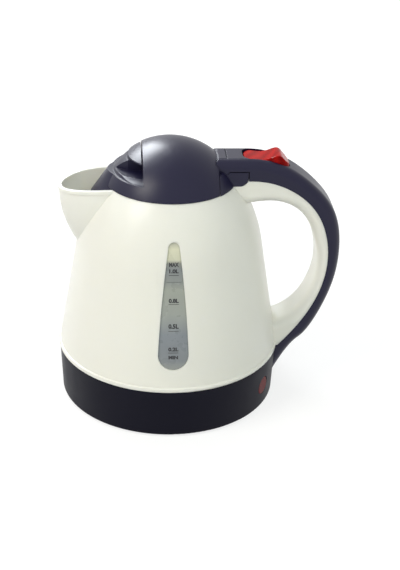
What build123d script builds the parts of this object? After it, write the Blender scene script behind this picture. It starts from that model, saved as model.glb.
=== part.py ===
"""Jug-shaped electric kettle of one litre, in millimetres.

Origin: middle of the kettle's length and width, on the surface that it stands on.  +X points to
the handle, -X to the spout, -Y to the level window and +Z up.  The pieces are drawn around the
jug's axis, and `finish` moves each one to that origin.
"""

from build123d import *

import os
from math import cos, radians, sin, sqrt, tan

os.makedirs("parts", exist_ok=True)

# ---------------------------------------------------------------- driving dimensions
# jug
base_r = 75.0  # outer radius at the seam between jug and base
seam_z = 35.0  # height of that seam
shoulder_r = 61.9  # end of the straight lower side
shoulder_z = 112.0
mouth_r = 43.0  # outer radius of the mouth
mouth_z = 154.0
jug_wall = 2.5
bead_height = 3.2  # rounded bead along the jug's lower edge
bead_proud = 0.6
bead_round = 0.9
flange_rise = 4.0  # from the seam to the underside of the flange that carries the heating plate
flange_thickness = 3.0

# spout
spout_length = 29.2  # half length of the rim
spout_width = 20.8  # half width of the rim
spout_wall = 1.6
spout_drop = 3.8  # how far the rim falls from its root to its tip
spout_sag = 0.3  # share of that fall in the first half
# the beak's levels: depth below the mouth, share of the rim's size
spout_levels = ((-2.0, 1.0), (20.0, 0.98), (37.0, 0.77), (52.0, 0.42))
lip_height = 2.4
lip_proud = 0.7

# level window
window_top_z = 133.6
window_bottom_z = 50.2
window_top_half = 3.6
window_bottom_half = 9.9
window_belly = 0.8  # how far its sides bulge outward
window_recess = 0.9
window_flange = 2.5
window_flange_thickness = 1.6

# base
foot_draft = 1.5  # how much narrower the base band is at its bottom
base_bottom_z = 1.2
base_wall = 2.5
ledge_z = 4.5
ledge_thickness = 2.0
ledge_width = 5.0
bottom_thickness = 2.5
foot_pad_r = 5.0
foot_pad_margin = 15.0  # from the bottom plate's edge to the centre of each pad
foot_pad_sink = 0.6
foot_pad_count = 4
foot_pad_angle = 30.0
foot_round = 1.2

# heating stack
plate_thickness = 1.0
seal_thickness = 1.5
seal_width = 5.5
clamp_thickness = 2.5
clamp_width = 5.0
clamp_screw_count = 6
clamp_bore = 2.4  # depth of the clamp screws' holes in the flange
boss_bore = 12.0
spreader_margin = 8.0  # from the flange's edge to the spreader's edge
spreader_thickness = 3.0
element_margin = 8.0  # from the spreader's edge to the middle of the element's tube
element_tube_r = 3.25
element_sweep = 300.0
element_tail = 9.0
element_pin_r = 1.5
element_pin_length = 6.0
thermostat_r = 13.0
thermostat_height = 13.5
snap_disc_r = 10.0
snap_disc_thickness = 0.4
snap_disc_room = 2.2
terminal_width = 6.3
terminal_thickness = 0.8
terminal_length = 6.0
fuse_r = 2.0
fuse_length = 12.0

# power inlet and pilot lamp
inlet_angle = 40.0
inlet_z = 18.0
inlet_width = 31.0
inlet_height = 22.0
inlet_depth = 26.0
inlet_proud = 0.6
socket_width = 24.6
socket_height = 16.4
socket_depth = 17.0
socket_chamfer = 4.5
inlet_corner = 2.0
pin_pitch = 14.0
pin_offset = 4.0
pin_width = 4.0
pin_thickness = 2.0
pin_tail = 7.0
pin_setback = 2.0  # from the inlet's face to the pins' tips
pilot_angle = -31.0
pilot_z = 17.2
pilot_r = 6.5
pilot_proud = 0.8
pilot_sink = 1.8  # depth of the band's curve across the lens
pilot_flange = 1.2
wire_r = 1.1
wire_inset = 2.6  # from the handle's inner wall to the lead's centre
wire_hole_r = 3.0
wire_hole_rise = 10.5  # height of the leads' holes above the cover's tail
steam_port_r = 2.5
steam_port_length = 11.0
steam_drop = 8.0
lamp_r = 3.0
lamp_length = 14.0

# handle
handle_reach = 39.4  # how far the handle stands out beyond the seam radius
neck_rise = 17.5  # height of the neck's top above the mouth
handle_width = 29.0
handle_round = 6.5  # rounding of the handle's long edges
handle_wall = 2.4
tail_thickness = 1.0  # from the seam radius to the tail screw's seat
tail_boss_wall = 1.6
cover_tail_z = 14.5  # lower end of the dark cover, on the base band
groove = 0.6  # parting line between neck and hinge block
crest_start = (1, 0)  # directions of the crest's line at its two ends
crest_end = (-0.45, -0.89)
# points of the handle's outlines: distance inward from the grip's outermost X, share of its height
crest_shape = (
    (64.4, 1.0),
    (39.4, 0.965),
    (19.3, 0.875),
    (5.5, 0.764),
    (0.0, 0.575),
    (3.5, 0.412),
    (20.8, 0.176),
    (40.4, 0.0),
)
parting_shape = (
    (63.5, 0.911),
    (42.8, 0.889),
    (19.0, 0.777),
    (9.0, 0.612),
    (11.6, 0.415),
    (29.0, 0.207),
    (42.0, 0.111),
)
finger_shape = (
    (68.4, 0.800),
    (60.3, 0.805),
    (45.0, 0.810),
    (27.5, 0.757),
    (18.4, 0.654),
    (14.6, 0.519),
    (17.0, 0.427),
    (23.9, 0.332),
    (48.4, 0.233),
)
block_height = 9.6
block_length = 19.4
block_round = 5.5

# lid
dome_rise = 27.5  # height of the dome's top above the mouth
dome_overhang = 0.15  # how far the dome's edge stands out beyond the mouth
lid_wall = 2.4
lid_back_inset = 12.7  # from the mouth's edge to the flat face at the back of the lid
lid_back_wall = 4.0
nose_inset = 17.0  # from the mouth's edge to the axis of the cone that forms the nose
nose_r = 20.3  # its radius at the mouth's height
nose_slope = 56.0  # slope of its side, in degrees
nose_depth = 9.0
nose_gap = 1.0
liner_gap = 2.0  # between the liner and the inside of the mouth
liner_depth = 9.0
liner_wall = 1.8
lid_seal_width = 0.9
lid_seal_height = 3.0

# grip and latch on the lid
tab_inset = 24.3  # from the mouth's edge to the seam behind the tab
tab_rise = 16.3  # height of the tab's underside above the mouth
tab_step = 0.4  # how far the tab's top lies below the dome
tab_edge = 0.8  # rounding of the tab's lower edge
scoop_rise = 7.6  # height of the scoops' floor above the mouth
bank_inset = 1.0  # how far the bank under the tab lies inside the dome
bowl_inset = 29.0  # from the mouth's edge to the axis of the scoops' curved wall
bowl_top_r = 17.8  # the wall's radius under the tab
bowl_floor_r = 32.0  # its radius where it runs out into the floor
pocket_length = 9.9  # finger pockets under the tab, along X
pocket_depth = 6.9
pocket_round = 3.0
web_half = 8.6
web_length = 9.3
web_nose = 13.5  # length over which the web between the scoops tapers
tab_seam = 0.8
latch_bar_r = 1.8
latch_bar_reach = 33.5  # along the latch's arm, from its pin to the bar
latch_width = 5.0
latch_thickness = 2.2
latch_bite = 0.8  # how far the hook reaches past the bar's centre
latch_hook = 2.4
latch_pin_inset = 2.3  # from the seam behind the tab to the latch's pin
latch_pin_rise = 0.4
latch_pin_r = 1.0
latch_pin_half = 7.6
latch_lug_r = 1.7
latch_lug_inner = 5.6  # the spring lies between the arm and the lug
latch_coil_r = 1.35
latch_wire_r = 0.22
latch_coil_pitch = 0.6
latch_coils = 3
latch_leg = 1.0
post_r = 3.0
post_count = 4
post_angle = 45.0
lid_screw_length = 8.0

# lid hinge
hinge_inset = 9.8  # from the mouth's edge to the lid's hinge
hinge_drop = 4.6  # depth of the axis below the neck's top
knuckle_r = 5.2
knuckle_half = 8.7

# switch
rocker_setback = 4.3  # from the mouth's edge to the rocker's front
rocker_length = 30.4
rocker_half = 8.8
rocker_pivot_inset = 13.7  # from the rocker's front to its pivot
rocker_pivot_rise = 9.0  # above the mouth
rocker_gap = 0.5
rocker_corner = 6.0
rocker_edge = 1.2  # rounding of the rocker's top edges
rocker_travel = 9.0  # degrees
rocker_floor_rise = 4.0  # above the mouth
# points of the rocker's top: distance from its front, rise above the neck's top
rocker_shape = ((0.0, -1.6), (3.2, -0.8), (12.2, -1.4), (18.2, 0.0), (22.6, 1.3), (25.9, -0.6))
rocker_heel = -5.5  # the same rise at its rear edge
switch_wall = 2.0
switch_back_room = 1.5
switch_depth = 8.0
contact_offset = 8.0  # from the rocker's pivot to each contact
contact_width = 4.0
contact_thickness = 0.5
contact_height = 5.0
steam_holder_inset = 30.4  # inward from the grip's outermost X
steam_holder_thickness = 4.0
steam_disc_r = 5.5
steam_disc_thickness = 0.4
# the leads' route down the handle, given as the handle's outlines are, and its bend radii
lead_shape = (
    (50.4, 0.837),
    (30.4, 0.818),
    (15.4, 0.736),
    (6.9, 0.596),
    (9.9, 0.417),
    (21.9, 0.264),
    (33.9, 0.150),
)
lead_bends = (1.8, 14.0, 25.0, 25.0, 40.0, 40.0, 40.0, 8.0)
lead_tail = 12.0  # length of the leads inside the base

# pins, screws and fits
pin_r = 1.5
pin_half = 13.0
tail_screw_rise = 7.0  # height of the tail's screw above the cover's lower end
tail_screw_length = 9.0
bottom_screw_length = 14.0
screw_r = 1.5
screw_head_r = 2.8
screw_head_height = 1.5
screw_drive_width = 3.4  # cross recess in the head
screw_drive_slot = 0.6
running = 0.05  # radial clearance of a pin in its hole
gap = 0.3  # clearance between pieces that move past each other
fit = 0.1  # clearance between fixed pieces that slide together

# ---------------------------------------------------------------- derived values
neck_top_z = mouth_z + neck_rise
handle_half = handle_width / 2
hinge_x = mouth_r - hinge_inset
hinge_z = neck_top_z - hinge_drop
spout_x = -mouth_r
lid_back_x = mouth_r - lid_back_inset
nose_x = nose_inset - mouth_r
tab_back_x = tab_inset - mouth_r
bowl_x = bowl_inset - mouth_r
latch_pin_x = tab_back_x - latch_pin_inset
rocker_front_x = mouth_r + rocker_setback
rocker_back_x = rocker_front_x + rocker_length
rocker_pivot_x = rocker_front_x + rocker_pivot_inset
dome_r = ((mouth_r + dome_overhang) ** 2 + dome_rise**2) / (2 * dome_rise)
dome_z = mouth_z + dome_rise - dome_r
liner_r = mouth_r - jug_wall - liner_gap
knuckle_gap_r = knuckle_r + gap
block_top_z = mouth_z + block_height
foot_r = base_r - foot_draft
boss_r = 2 * screw_r
boss_circle = foot_r - base_wall - 2 * fit - boss_r
clamp_r = boss_circle - boss_r - gap
plate_r = clamp_r - clamp_width
clamp_screw_r = plate_r + clamp_width / 2
flange_r = plate_r - seal_width
spreader_r = flange_r - spreader_margin
element_r = spreader_r - element_margin
foot_pad_circle = foot_r - base_wall - foot_pad_margin
flange_z = seam_z + flange_rise
seal_z = flange_z - seal_thickness
plate_z = seal_z - plate_thickness
spreader_z = plate_z - spreader_thickness
tab_z = mouth_z + tab_rise
scoop_z = mouth_z + scoop_rise
rocker_pivot_z = mouth_z + rocker_pivot_rise
rocker_floor_z = mouth_z + rocker_floor_rise
grip_x = base_r + handle_reach
centre_x = (grip_x - base_r) / 2
steam_holder_x = grip_x - steam_holder_inset
ledge_top_z = ledge_z + ledge_thickness
bottom_z = ledge_z - bottom_thickness
beside_steps = 8  # stretches of a line that follows another one
FAR = 300.0  # reaches past every piece


def at_angle(radius, angle, height=0.0):
    """Point at a radius and an angle around the kettle's axis."""
    return (radius * cos(radians(angle)), radius * sin(radians(angle)), height)


def radial_plane(radius, angle, height):
    """Sketch plane that faces outward, with x along the wall and y up."""
    outward = at_angle(1, angle)
    sideways = (-outward[1], outward[0], 0)
    return Plane(origin=at_angle(radius, angle, height), x_dir=sideways, z_dir=outward)


lid_floor_z = mouth_z + gap
arm_x = -cos(radians(nose_slope))  # direction of the latch's arm, along the nose's slope
arm_z = -sin(radians(nose_slope))
latch_pin_z = tab_z + latch_pin_rise
bar_offset = latch_thickness / 2 + gap + latch_bar_r


def on_latch(along, across):
    """X, Z point given along the latch's arm from its pin, and across it towards the handle."""
    return (
        latch_pin_x + along * arm_x - across * arm_z,
        latch_pin_z + along * arm_z + across * arm_x,
    )


# ---------------------------------------------------------------- forms that several pieces share
def jug_form(inset):
    """The jug's solid of revolution, with its side moved inward."""
    with BuildPart() as form:
        with BuildSketch(Plane.XZ):
            with BuildLine():
                side = Line((base_r - inset, seam_z), (shoulder_r - inset, shoulder_z))
                curve = TangentArc(side @ 1, (mouth_r - inset, mouth_z), tangent=side % 1)
                Polyline(curve @ 1, (0, mouth_z), (0, seam_z), side @ 0)
            make_face()
        revolve(axis=Axis.Z)
    return form.part


def spout_form(inset):
    """The spout's beak, lofted through ellipses that shrink downward."""
    with BuildPart() as form:
        for depth, share in spout_levels:
            with BuildSketch(Plane((spout_x, 0, mouth_z - depth))):
                Ellipse(spout_length * share - inset, spout_width * share - inset)
        loft()
    return form.part


def rim_slab(below, above):
    """Slab that follows the spout's falling rim, between two depths under it."""
    root = (spout_x, mouth_z)
    middle = (spout_x - spout_length / 2, mouth_z - spout_drop * spout_sag)
    tip = (spout_x - spout_length - 2 * lip_proud, mouth_z - spout_drop)
    with BuildPart() as slab:
        with BuildSketch(Plane.XZ):
            with BuildLine():
                lower = ThreePointArc(*[(x, z - below) for x, z in (root, middle, tip)])
                upper = ThreePointArc(*[(x, z + above) for x, z in (root, middle, tip)])
                Line(lower @ 1, upper @ 1)
                Polyline(upper @ 0, (0, mouth_z + above), (0, mouth_z - below), lower @ 0)
            make_face()
        extrude(amount=FAR, both=True)
    return slab.part


def dome_form(inset, floor_z):
    """Spherical cap of the lid above a flat floor."""
    with BuildPart() as form:
        with Locations((0, 0, dome_z)):
            Sphere(dome_r - inset)
        with Locations((0, 0, floor_z)):
            Box(FAR, FAR, FAR, align=(Align.CENTER, Align.CENTER, Align.MIN), mode=Mode.INTERSECT)
    return form.part


def box_between(low, high):
    """Block between two corners."""
    size = [b - a for a, b in zip(low, high)]
    with BuildPart() as block:
        with Locations(low):
            Box(*size, align=(Align.MIN, Align.MIN, Align.MIN))
    return block.part


def band_form(grow):
    """The base band's tapered solid of revolution, moved outward."""
    with BuildPart() as form:
        with BuildSketch(Plane.XZ):
            with BuildLine():
                Polyline(
                    (0, base_bottom_z),
                    (foot_r + grow, base_bottom_z),
                    (base_r + grow, seam_z),
                    (0, seam_z),
                    close=True,
                )
            make_face()
        revolve(axis=Axis.Z)
    return form.part


def ring(inner_r, outer_r, low_z, high_z):
    """Flat ring, or a disc where the inner radius is zero."""
    with BuildPart() as form:
        with BuildSketch(Plane.XY.offset(low_z)):
            Circle(outer_r)
            if inner_r:
                Circle(inner_r, mode=Mode.SUBTRACT)
        extrude(amount=high_z - low_z)
    return form.part


def window_block(grow):
    """Teardrop of the level window, pushed through the front of the jug."""
    with BuildPart() as block:
        with BuildSketch(Plane.XZ.offset(mouth_r / 2)):
            with BuildLine():
                top = (window_top_half, window_top_z - window_top_half)
                low = (window_bottom_half, window_bottom_z + window_bottom_half)
                middle = ((top[0] + low[0]) / 2 + window_belly, (top[1] + low[1]) / 2)
                ThreePointArc(top, middle, low)
                ThreePointArc((-top[0], top[1]), (-middle[0], middle[1]), (-low[0], low[1]))
                ThreePointArc(top, (0, window_top_z), (-top[0], top[1]))
                ThreePointArc(low, (0, window_bottom_z), (-low[0], low[1]))
            make_face()
            if grow:
                offset(amount=grow)
        extrude(amount=base_r)
    return block.part


def hinge_rod(radius, half, inner=0.0):
    """Cylinder around the lid hinge, or the part of it beyond an inner half width."""
    with BuildPart() as rod:
        with BuildSketch(Plane.XZ):
            with Locations((hinge_x, hinge_z)):
                Circle(radius)
        extrude(amount=half, both=True)
        if inner:
            Box(FAR, 2 * inner, 2 * FAR, mode=Mode.SUBTRACT)
    return rod.part


def screw(top, length, direction=-1):
    """Pan-head screw along Z with its head's seat at `top`."""
    x, y, z = top
    with BuildPart() as body:
        with BuildSketch(Plane((x, y, z), z_dir=(0, 0, -direction))):
            Circle(screw_head_r)
        extrude(amount=screw_head_height)
        with BuildSketch(Plane((x, y, z), z_dir=(0, 0, direction))):
            Circle(screw_r)
        extrude(amount=length)
        drive = Plane((x, y, z - direction * screw_head_height), z_dir=(0, 0, direction))
        with BuildSketch(drive):
            Rectangle(screw_drive_width, screw_drive_slot)
            Rectangle(screw_drive_slot, screw_drive_width)
        extrude(amount=screw_head_height / 2, mode=Mode.SUBTRACT)
    return body.part


def finish(piece, name):
    """Move a finished piece to the kettle's origin, label it and write its STEP file."""
    placed = Pos(-centre_x, 0, 0) * piece.part
    placed.label = name
    export_step(placed, f"parts/{name}.step")


# ---------------------------------------------------------------- handle forms
grip_height = neck_top_z - cover_tail_z
neck_x = lid_back_x + gap
ear_x = hinge_x - knuckle_r
block_end_x = neck_x + block_length


def handle_points(shape):
    """Turn a list of insets and height shares into X, Z points."""
    return [(grip_x - inset, cover_tail_z + share * grip_height) for inset, share in shape]


def handle_form():
    """Whole handle with its neck and tail, before it is split into two mouldings."""
    with BuildPart() as form:
        with BuildSketch(Plane.XZ):
            with BuildLine():
                crest = Spline(*handle_points(crest_shape), tangents=(crest_start, crest_end))
                inner = Spline(*handle_points(finger_shape))
                root = inner @ 0
                foot = inner @ 1
                root_x = mouth_r - jug_wall
                Polyline(crest @ 1, (foot.X, cover_tail_z), foot)
                Polyline(
                    root,
                    (root_x, root.Y),
                    (root_x, mouth_z),
                    (ear_x, mouth_z),
                    (ear_x, neck_top_z),
                    crest @ 0,
                )
            make_face()
        extrude(amount=handle_half, both=True)
        long_edges = form.faces().filter_by(Axis.Y).edges().filter_by(GeomType.BSPLINE)
        top_edges = form.faces().filter_by(Axis.Y).edges().filter_by_position(
            Axis.Z, neck_top_z - running, neck_top_z + running
        )
        fillet(long_edges + top_edges, handle_round)
    return form.part


def beside(line, distance):
    """Spline that runs beside a line of the handle, at a distance to its right."""
    shares = [step / beside_steps for step in range(beside_steps + 1)]
    return Spline(
        *[(line @ share) + distance * Vector((line % share).Y, -(line % share).X) for share in shares]
    )


def handle_cavity():
    """Wiring channel that runs through both mouldings of the handle."""
    with BuildPart() as cavity:
        with BuildSketch(Plane.XZ):
            with BuildLine():
                crest = Spline(
                    *handle_points(crest_shape),
                    tangents=(crest_start, crest_end),
                    mode=Mode.PRIVATE,
                )
                inner = Spline(*handle_points(finger_shape), mode=Mode.PRIVATE)
                roof = beside(crest, handle_wall)
                floor = beside(inner, -handle_wall)
                Polyline(roof @ 1, ((floor @ 1).X, (roof @ 1).Y), floor @ 1)
                Polyline(roof @ 0, ((floor @ 0).X + handle_wall, (roof @ 0).Y), floor @ 0)
            make_face()
        extrude(amount=handle_half - handle_wall, both=True)
    return cavity.part


def cover_zone(clearance):
    """Everything outside the parting line between the white and the dark half of the handle."""
    parting = handle_points(parting_shape)
    corner_x = block_end_x + groove - clearance
    with BuildPart() as zone:
        with BuildSketch(Plane.XZ):
            with BuildLine():
                line = Spline(*parting)
                Polyline(
                    line @ 1,
                    (0, cover_tail_z - clearance),
                    (0, -FAR),
                    (FAR, -FAR),
                    (FAR, FAR),
                    (0, FAR),
                    (0, block_top_z + groove),
                    (corner_x, block_top_z + groove),
                    (corner_x, (line @ 0).Y),
                    line @ 0,
                )
            make_face()
        extrude(amount=FAR, both=True)
    return zone.part


jug_outside = jug_form(0)
jug_inside = jug_form(jug_wall)
spout_outside = spout_form(0)
spout_inside = spout_form(spout_wall)
handle_whole = handle_form()
handle_hollow = handle_cavity() - jug_form(-bead_proud) - band_form(0)
above_rim = rim_slab(0, neck_rise)
inlet_face_r = base_r + inlet_proud
inlet_plane = radial_plane(inlet_face_r, inlet_angle, inlet_z)
pilot_plane = radial_plane(base_r, pilot_angle, pilot_z)
wire_y = handle_half - handle_wall - wire_inset
wire_hole_z = cover_tail_z + wire_hole_rise
boss_angles = (60.0, 180.0, 300.0)
steam_z = mouth_z - steam_drop
lead_route = [*handle_points(lead_shape), (base_r, wire_hole_z)]
tail_screw_z = cover_tail_z + tail_screw_rise
tail_screw_seat_x = base_r + tail_thickness

# ---------------------------------------------------------------- body_shell: jug, spout, white half
with BuildPart() as block_space:
    with BuildSketch(Plane.XZ) as block_side:
        with Locations((block_end_x + groove, mouth_z)):
            Rectangle(FAR, FAR, align=(Align.MAX, Align.MIN))
        low_corner = block_side.vertices().group_by(Axis.Y)[0].sort_by(Axis.X)[-1]
        fillet(low_corner, block_round + groove)
    extrude(amount=FAR, both=True)
    add(box_between((-FAR, -FAR, 0), (0, FAR, 2 * FAR)), mode=Mode.SUBTRACT)

with BuildPart() as white_half:
    add(handle_whole)
    add(cover_zone(fit), mode=Mode.SUBTRACT)
    add(block_space.part, mode=Mode.SUBTRACT)
    add(box_between((0, -FAR, 0), (FAR, FAR, seam_z)), mode=Mode.SUBTRACT)

with BuildPart() as rolled_lip:
    add(spout_form(-lip_proud))
    add(rim_slab(lip_height, 0), mode=Mode.INTERSECT)

with BuildPart() as latch_bar:
    with BuildSketch(Plane.XZ):
        with Locations(on_latch(latch_bar_reach, bar_offset)):
            Circle(latch_bar_r)
    extrude(amount=base_r, both=True)
    add(jug_form(jug_wall / 2), mode=Mode.INTERSECT)

with BuildPart() as body_shell:
    add(jug_outside)
    add(spout_outside)
    add(rolled_lip.part)
    add(white_half.part)
    with BuildSketch(Plane.XZ):
        with Locations((base_r - jug_wall / 2, seam_z)):
            RectangleRounded(
                jug_wall + 2 * bead_proud, bead_height, bead_round, align=(Align.CENTER, Align.MIN)
            )
    revolve(axis=Axis.Z)
    add(jug_inside, mode=Mode.SUBTRACT)
    add(spout_inside, mode=Mode.SUBTRACT)
    add(above_rim, mode=Mode.SUBTRACT)
    add(handle_hollow, mode=Mode.SUBTRACT)
    add(window_block(0), mode=Mode.SUBTRACT)
    with BuildSketch(Plane.YZ.offset(mouth_r - jug_wall - gap)):
        with Locations((0, steam_z)):
            Circle(steam_port_r)
    extrude(amount=steam_port_length, mode=Mode.SUBTRACT)
    add(ring(flange_r, base_r - jug_wall, flange_z, flange_z + flange_thickness))
    for angle in boss_angles:
        with BuildSketch(Plane.XY.offset(ledge_top_z)):
            with Locations(at_angle(boss_circle, angle)):
                Circle(boss_r)
        extrude(until=Until.NEXT)
    with BuildSketch(Plane.XY.offset(ledge_top_z)):
        with PolarLocations(boss_circle, len(boss_angles), start_angle=boss_angles[0]):
            Circle(screw_r + running)
    extrude(amount=boss_bore, mode=Mode.SUBTRACT)
    with BuildSketch(Plane.XY.offset(seal_z)):
        with PolarLocations(clamp_screw_r, clamp_screw_count):
            Circle(screw_r + running)
    extrude(amount=seal_thickness + clamp_bore, mode=Mode.SUBTRACT)
    add(latch_bar.part)
finish(body_shell, "body_shell")

# ---------------------------------------------------------------- level window
with BuildPart() as window_backing:
    add(jug_form(jug_wall))
    add(window_block(window_flange), mode=Mode.INTERSECT)
    add(jug_form(jug_wall + window_flange_thickness), mode=Mode.SUBTRACT)

with BuildPart() as level_window:
    add(jug_form(window_recess))
    add(window_block(-fit), mode=Mode.INTERSECT)
    add(jug_form(jug_wall), mode=Mode.SUBTRACT)
    add(window_backing.part)
finish(level_window, "level_window")

# ---------------------------------------------------------------- handle cover, hinge block and pin
with BuildPart() as cover_ears:
    add(hinge_rod(knuckle_r, handle_half, knuckle_half + gap))
    add(handle_whole, mode=Mode.INTERSECT)

with BuildPart() as rocker_pocket:
    pocket_length = rocker_back_x - rocker_front_x + 2 * rocker_gap
    with BuildSketch(Plane.XY.offset(rocker_floor_z)):
        with Locations(((rocker_front_x + rocker_back_x) / 2, 0)):
            RectangleRounded(pocket_length, 2 * (rocker_half + rocker_gap), rocker_corner)
    extrude(amount=neck_top_z - rocker_floor_z)

with BuildPart() as handle_cover:
    add(handle_whole)
    add(cover_zone(0), mode=Mode.INTERSECT)
    add(box_between((0, -FAR, 0), (neck_x, FAR, FAR)), mode=Mode.SUBTRACT)
    add(cover_ears.part)
    add(hinge_rod(knuckle_gap_r, knuckle_half + gap), mode=Mode.SUBTRACT)
    add(handle_hollow, mode=Mode.SUBTRACT)
    with BuildSketch(Plane.YZ.offset(foot_r)):
        with Locations((0, tail_screw_z)):
            Circle(screw_head_r + tail_boss_wall)
    extrude(amount=tail_screw_seat_x - foot_r)
    add(jug_form(-bead_proud - fit), mode=Mode.SUBTRACT)
    add(band_form(0), mode=Mode.SUBTRACT)
    add(rocker_pocket.part, mode=Mode.SUBTRACT)
    add(hinge_rod(pin_r, pin_half), mode=Mode.SUBTRACT)
    head_room = screw_head_r + fit
    add(
        box_between(
            (tail_screw_seat_x, -head_room, 0), (FAR, head_room, tail_screw_z + head_room)
        ),
        mode=Mode.SUBTRACT,
    )
    with BuildSketch(Plane.YZ.offset(foot_r)):
        with Locations((0, tail_screw_z)):
            Circle(screw_r + running)
    extrude(amount=tail_screw_seat_x - foot_r + fit, mode=Mode.SUBTRACT)
finish(handle_cover, "handle_cover")

with BuildPart() as hinge_block:
    add(dome_form(0, mouth_z))
    add(box_between((neck_x, -FAR, 0), (FAR, FAR, block_top_z)), mode=Mode.INTERSECT)
    with BuildSketch(Plane.XZ):
        with Locations((neck_x, mouth_z)):
            Rectangle(block_length, block_height, align=(Align.MIN, Align.MIN))
    extrude(amount=handle_half - fit, both=True)
    add(hinge_rod(knuckle_gap_r, handle_half + gap), mode=Mode.SUBTRACT)
    lower_rear = hinge_block.edges().filter_by(Axis.Y).sort_by(Axis.X)[-2:].sort_by(Axis.Z)[0]
    fillet(lower_rear, block_round)
    add(rocker_pocket.part, mode=Mode.SUBTRACT)
finish(hinge_block, "hinge_block")

with BuildPart() as hinge_pin:
    add(hinge_rod(pin_r, pin_half))
finish(hinge_pin, "hinge_pin")

with BuildPart() as tail_screw:
    with BuildSketch(Plane.YZ.offset(tail_screw_seat_x)):
        with Locations((0, tail_screw_z)):
            Circle(screw_head_r)
    extrude(amount=screw_head_height)
    with BuildSketch(Plane.YZ.offset(tail_screw_seat_x)):
        with Locations((0, tail_screw_z)):
            Circle(screw_r)
    extrude(amount=-tail_screw_length)
finish(tail_screw, "tail_screw")

# ---------------------------------------------------------------- base
with BuildPart() as base_housing:
    add(band_form(0))
    with BuildSketch(Plane.XZ):
        with BuildLine():
            Polyline(
                (0, 0),
                (foot_r - base_wall, 0),
                (foot_r - base_wall, ledge_z),
                (foot_r - base_wall - ledge_width, ledge_z),
                (foot_r - base_wall - ledge_width, ledge_top_z),
                (foot_r - base_wall, ledge_top_z),
                (base_r - base_wall, seam_z),
                (0, seam_z),
                close=True,
            )
        make_face()
    revolve(axis=Axis.Z, mode=Mode.SUBTRACT)
    with BuildSketch(inlet_plane):
        Rectangle(inlet_width, inlet_height)
    extrude(amount=-inlet_depth, mode=Mode.SUBTRACT)
    with BuildSketch(pilot_plane):
        Circle(pilot_r + running)
    extrude(amount=pilot_r, both=True, mode=Mode.SUBTRACT)
    with BuildSketch(Plane.YZ.offset(foot_r - 2 * base_wall)):
        with Locations((-wire_y, wire_hole_z), (wire_y, wire_hole_z)):
            Circle(wire_hole_r)
        with Locations((0, tail_screw_z)):
            Circle(screw_r + running)
    extrude(amount=4 * base_wall, mode=Mode.SUBTRACT)
    with BuildSketch(Plane.XY.offset(ledge_z)):
        with PolarLocations(boss_circle, len(boss_angles), start_angle=boss_angles[0]):
            Circle(screw_r + fit)
    extrude(amount=ledge_thickness, mode=Mode.SUBTRACT)
    foot_edge = base_housing.edges().filter_by(GeomType.CIRCLE).group_by(Axis.Z)[0].sort_by(
        SortBy.RADIUS
    )[-1]
    fillet(foot_edge, foot_round)
finish(base_housing, "base_housing")

with BuildPart() as bottom_plate:
    add(ring(0, foot_r - base_wall - fit, bottom_z, ledge_z))
    with BuildSketch(Plane.XY.offset(bottom_z)):
        with PolarLocations(boss_circle, len(boss_angles), start_angle=boss_angles[0]):
            Circle(screw_r + fit)
    extrude(amount=bottom_thickness, mode=Mode.SUBTRACT)
    with BuildSketch(Plane.XY.offset(bottom_z)):
        with PolarLocations(boss_circle, len(boss_angles), start_angle=boss_angles[0]):
            Circle(screw_head_r + fit)
    extrude(amount=screw_head_height, mode=Mode.SUBTRACT)
    with BuildSketch(Plane.XY.offset(bottom_z)):
        with PolarLocations(foot_pad_circle, foot_pad_count, start_angle=foot_pad_angle):
            Circle(foot_pad_r)
    extrude(amount=foot_pad_sink, mode=Mode.SUBTRACT)
finish(bottom_plate, "bottom_plate")

with BuildPart() as bottom_screws:
    for angle in boss_angles:
        seat = at_angle(boss_circle, angle, bottom_z + screw_head_height)
        add(screw(seat, bottom_screw_length, 1))
finish(bottom_screws, "bottom_screws")

with BuildPart() as feet:
    with BuildSketch(Plane.XY):
        with PolarLocations(foot_pad_circle, foot_pad_count, start_angle=foot_pad_angle):
            Circle(foot_pad_r)
    extrude(amount=bottom_z + foot_pad_sink)
    rims = feet.edges().filter_by(GeomType.CIRCLE).group_by(Axis.Z)[0]
    fillet(rims, foot_pad_sink)
finish(feet, "feet")

# ---------------------------------------------------------------- heating stack
with BuildPart() as plate_seal:
    add(ring(flange_r, plate_r, seal_z, flange_z))
finish(plate_seal, "plate_seal")

with BuildPart() as heating_plate:
    add(ring(0, plate_r, plate_z, seal_z))
finish(heating_plate, "heating_plate")

with BuildPart() as clamp_ring:
    add(ring(flange_r, clamp_r, plate_z - clamp_thickness, flange_z))
    add(ring(0, plate_r, plate_z, flange_z), mode=Mode.SUBTRACT)
    with BuildSketch(Plane.XY.offset(plate_z - clamp_thickness)):
        with PolarLocations(clamp_screw_r, clamp_screw_count):
            Circle(screw_r + fit)
    extrude(until=Until.LAST, mode=Mode.SUBTRACT)
finish(clamp_ring, "clamp_ring")

with BuildPart() as clamp_screws:
    for index in range(clamp_screw_count):
        spot = at_angle(clamp_screw_r, index * 360 / clamp_screw_count, plate_z - clamp_thickness)
        add(screw(spot, flange_z + clamp_bore - plate_z + clamp_thickness - fit, 1))
finish(clamp_screws, "clamp_screws")

with BuildPart() as heat_spreader:
    add(ring(0, spreader_r, spreader_z, plate_z))
finish(heat_spreader, "heat_spreader")

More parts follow.
